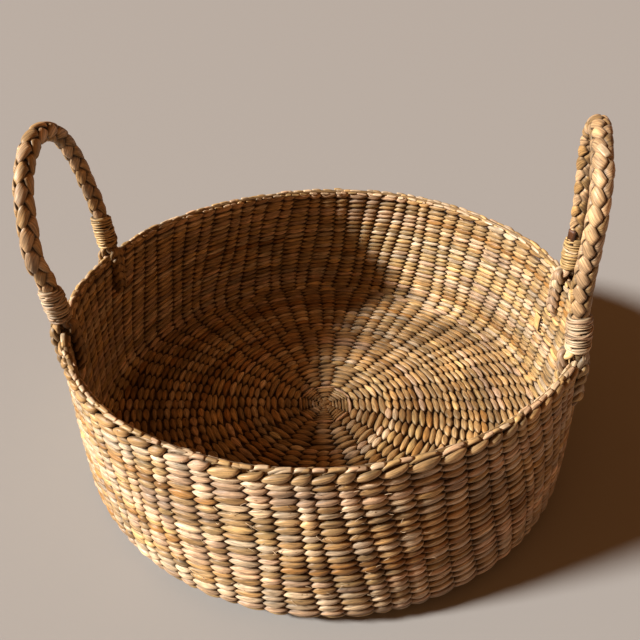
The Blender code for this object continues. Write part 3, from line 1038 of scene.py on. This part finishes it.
def leg_route(azimuth, foot, bend, inside):
    """The line of one leg, as in the CAD, and the direction it lies in from the rope."""
    start, _, up = whipping_axis(foot, bend)
    outward = foot_out(azimuth)
    away = -outward if inside else outward
    radial = unit(away - up * (away @ up))
    face = WALL_THICKNESS if inside else 0.0
    stand = 0.0 if inside else 1.2 * MM

    def beside(below_rim, clear):
        depth = face + clear if inside else face - clear
        return wall_point(azimuth, WALL_HEIGHT - below_rim, depth)

    clear = LEG_RADIUS - (0.8 * MM if inside else 1.7 * MM)
    rim_middle = wall_point(azimuth, WALL_HEIGHT, WALL_THICKNESS / 2)
    shoulder_out = FOLD_WIDTH / 2 + LEG_RADIUS_GRIPPED - (0.0 if inside else 0.7 * MM)
    return [
        start + radial * LEG_OFFSET_GRIPPED + up * 6 * MM,
        start + radial * LEG_OFFSET_GRIPPED - up * LEG_EXIT,
        rim_middle + away * shoulder_out + UP * 2 * MM,
        beside(5 * MM, clear + stand),
        beside(11 * MM, clear + stand),
        beside(20 * MM, clear),
        beside(LACING_DEPTH - 8 * MM, clear),
        beside(LACING_DEPTH - 3.5 * MM, clear - 1.2 * MM),
        beside(LACING_DEPTH, -1.0 * MM),
        beside(LACING_DEPTH + 3 * MM, -4.0 * MM),
    ], away


LEG_PERIOD = 23 * MM


def plait_leg(name, azimuth, foot, bend, inside, palette, rng):
    """Three strands of a flat plait."""
    places, away = leg_route(azimuth, foot, bend, inside)
    route = Route(smooth_route(places, 160), away)
    period = LEG_PERIOD
    run = np.arange(0, route.length, period / 34)
    open_out = np.clip((run - 5 * MM) / (9 * MM), 0, 1)
    closing = 1 - 0.35 * np.clip((run - route.length + 12 * MM) / (10 * MM), 0, 1)
    piece = Piece()
    for strand in range(3):
        beat = TURN * (run / period + strand / 3) + rng.uniform(-0.2, 0.2)
        sideways = 3.3 * MM * np.sin(beat) * (0.55 + 0.45 * open_out) * closing
        outwards = 1.5 * MM * np.sin(2 * beat) * closing
        point, out, beside = route.at(run)
        centre = point + sideways[:, None] * beside + outwards[:, None] * out
        count = int(route.length / (period / 2)) + 3
        reach = beat / math.pi
        lozenge = np.floor(reach).astype(int) % count
        share = reach - np.floor(reach)
        swell = np.sin(math.pi * share) ** 0.7
        colours = strand_colours(count, palette, [1 / len(palette)] * len(palette), rng, 4, 0.12)
        # painted shade: each lozenge darkens towards its ends, where it goes under the next strand,
        # and edge=0.6 darkens its edges
        tint = colours[lozenge] * (0.45 + 0.55 * swell[:, None])
        normal = out + beside * (0.55 * np.sin(beat))[:, None]
        wide = (2.4 * MM + 1.5 * MM * swell) * (0.75 + 0.25 * open_out) * closing
        seed = rng.uniform(0, 60)
        normal = unit(normal)
        sweep(
            piece, centre, normal, wide, 1.8 * MM, tint, seed, rng, sides=14, ridges=0.08, edge=0.6
        )
    half = "inner" if inside else "outer"
    return piece.make(f"{name}_{half}_plait", PLAIT, "plait", replaces=[f"{name}_{half}_leg"])


LEG_COLOURS = {"left": (HONEY, TAN, BLUSH), "right": (PINK, YELLOW, CREAM)}
ROPE_COLOURS = {"left": (HONEY, TAN, HONEY, BLUSH), "right": (BLUSH, HONEY, BLUSH, TAN)}
CORD_COLOURS = {
    "left_near": (CREAM, PINK),
    "left_far": (YELLOW, CREAM),
    "right_near": (CREAM, PINK),
    "right_far": (YELLOW, CREAM),
}


def make_handles():
    rng = np.random.default_rng(71)
    for side, shape in HANDLES.items():
        feet, arch, outward = handle_places(shape)
        braid_rope(side, feet, arch, outward, ROPE_COLOURS[side])
        for place, degrees, foot, bend in zip(
            ("near", "far"), shape["feet"], feet, (arch[0], arch[-1])
        ):
            name = f"{side}_{place}"
            azimuth = math.radians(degrees)
            wind_cord(
                f"{name}_winding", foot, bend, f"{name}_whipping", CORD_COLOURS[name], rng
            )
            for inside in (True, False):
                plait_leg(name, azimuth, foot, bend, inside, LEG_COLOURS[side], rng)
        if side == "right":
            cut_ends(feet, arch)


def strand_end():
    """The cut end of weft that lies on the inside of the wall."""
    rng = np.random.default_rng(91)
    piece = Piece()
    height = np.linspace(-7.5, 7.5, 9) * MM + STRAND_END_HEIGHT
    lift = np.array((0.2, 0.5, 0.6, 0.6, 0.6, 0.6, 0.6, 0.5, 0.3)) * MM
    centre = np.array(
        [
            wall_point(STRAND_END_AZIMUTH, h, WALL_THICKNESS + 0.6 * MM + up)
            for h, up in zip(height, lift)
        ]
    )
    inward = -foot_out(STRAND_END_AZIMUTH)
    flat = np.tile(inward, (9, 1))
    tint = np.array(YELLOW) * 1.05
    sweep(piece, centre, flat, 4.4 * MM, 0.6 * MM, tint, 5.0, rng, sides=12, ridges=0.05)
    # painted shade: dark strips laid on the wall where the gaps beside it fall into shadow
    for number in range(5):
        height = STRAND_END_HEIGHT + (3.2 * number - 7.5) * MM
        depth = WALL_THICKNESS + 0.9 * MM
        shadow_strip = np.array(
            [
                wall_point(STRAND_END_AZIMUTH - reach, height + 40 * MM * reach, depth)
                for reach in np.radians(np.linspace(1.35, 2.3, 5))
            ]
        )
        wide = 0.8 * MM * np.array((0.4, 0.9, 1, 0.9, 0.4))
        sweep(piece, shadow_strip, np.tile(inward, (5, 1)), wide, 0.4 * MM, np.array(PAINTED_GAP_SHADE) * 0.5, 1.0, rng)
    piece.make("loose_strand_end", END, "strand_end", replaces=["wall_strand_end"])


# ---- The studio ----


CAMERA_PLACE = Vector((-0.0018, -2.2046, 2.1916)) * RIM_RADIUS
CAMERA_PITCH, CAMERA_YAW, CAMERA_ROLL = 0.6452, -0.0091, -0.0056
SENSOR_WIDTH = 36
LENS = 36

FLOOR_REACH = 60.0
FLOOR_COLOUR = (0.35, 0.34, 0.325)
SUN_AZIMUTH = math.radians(189.5)
SUN_ELEVATION = math.radians(30.8)
SUN_ANGLE = math.radians(9)
SUN_ENERGY = 7.7
SUN_COLOUR = (1.0, 0.99, 0.97)
FILL_PLACE = Vector((-0.3, -1.4, 1.5))
FILL_SIZE = 1.6
FILL_ENERGY = 0.5
FILL_COLOUR = (1.0, 0.75, 0.5)
WORLD_COLOUR = (1.0, 0.44, 0.15, 1)
WORLD_STRENGTH = 0.27
BACKDROP_COLOUR = (0.54, 0.47, 0.41, 1)
GAMMA = 0.87


def camera():
    """The viewpoint in front of the basket, looking down into it."""
    pitch, yaw, roll = CAMERA_PITCH, CAMERA_YAW, CAMERA_ROLL
    forward = Vector(
        (math.sin(yaw) * math.cos(pitch), math.cos(yaw) * math.cos(pitch), -math.sin(pitch))
    )
    level = Vector((math.cos(yaw), -math.sin(yaw), 0))
    upright = level.cross(forward)
    right = level * math.cos(roll) + upright * math.sin(roll)
    up = -level * math.sin(roll) + upright * math.cos(roll)
    data = bpy.data.cameras.new("camera")
    data.lens = LENS
    data.sensor_width = SENSOR_WIDTH
    data.clip_start = 0.01
    data.clip_end = 50
    eye = add_object("camera", data)
    turn = Matrix((right, up, -forward)).transposed().to_4x4()
    eye.matrix_world = Matrix.Translation(CAMERA_PLACE) @ turn
    bpy.context.scene.camera = eye


def plain(name, colour, roughness):
    material = bpy.data.materials.new(name)
    material.use_nodes = True
    shader = material.node_tree.nodes["Principled BSDF"]
    shader.inputs["Base Color"].default_value = (*colour, 1)
    shader.inputs["Roughness"].default_value = roughness
    shader.inputs["Specular IOR Level"].default_value = 0.2
    return material


def studio():
    """A pale floor, the sun from the left, a faint fill from the front, and a warm world."""
    mesh = bpy.data.meshes.new("floor")
    around = ((-1, -1), (1, -1), (1, 1), (-1, 1))
    corners = [(x * FLOOR_REACH, y * FLOOR_REACH, 0) for x, y in around]
    mesh.from_pydata(corners, [], [(0, 1, 2, 3)])
    mesh.materials.append(plain("pale_floor", FLOOR_COLOUR, 0.85))
    add_object("floor", mesh)

    key = bpy.data.lights.new("key", "SUN")
    key.energy = SUN_ENERGY
    key.angle = SUN_ANGLE
    key.color = SUN_COLOUR
    toward = Vector(
        (
            math.cos(SUN_AZIMUTH) * math.cos(SUN_ELEVATION),
            math.sin(SUN_AZIMUTH) * math.cos(SUN_ELEVATION),
            math.sin(SUN_ELEVATION),
        )
    )
    sun = add_object("key", key)
    sun.rotation_euler = toward.to_track_quat("Z", "Y").to_euler()

    fill = bpy.data.lights.new("fill", "AREA")
    fill.energy = FILL_ENERGY
    fill.size = FILL_SIZE
    fill.color = FILL_COLOUR
    soft = add_object("fill", fill)
    soft.location = FILL_PLACE
    soft.rotation_euler = FILL_PLACE.to_track_quat("Z", "Y").to_euler()

    world = bpy.data.worlds.new("studio")
    world.use_nodes = True
    nodes = world.node_tree.nodes
    links = world.node_tree.links
    back = nodes["Background"]
    back.inputs["Color"].default_value = WORLD_COLOUR
    back.inputs["Strength"].default_value = WORLD_STRENGTH

    # Past the floor's far edge the backdrop is as pale as the floor, and lights nothing.
    backdrop = nodes.new("ShaderNodeBackground")
    backdrop.inputs["Color"].default_value = BACKDROP_COLOUR
    seen = nodes.new("ShaderNodeLightPath")
    mix = nodes.new("ShaderNodeMixShader")
    links.new(seen.outputs["Is Camera Ray"], mix.inputs[0])
    links.new(back.outputs[0], mix.inputs[1])
    links.new(backdrop.outputs[0], mix.inputs[2])
    links.new(mix.outputs[0], nodes["World Output"].inputs["Surface"])
    bpy.context.scene.world = world
    bpy.context.scene.view_settings.view_transform = "Standard"
    bpy.context.scene.view_settings.gamma = GAMMA


camera()
studio()
weave_base()
weave_wall()
make_handles()
strand_end()
frayed_fibres()
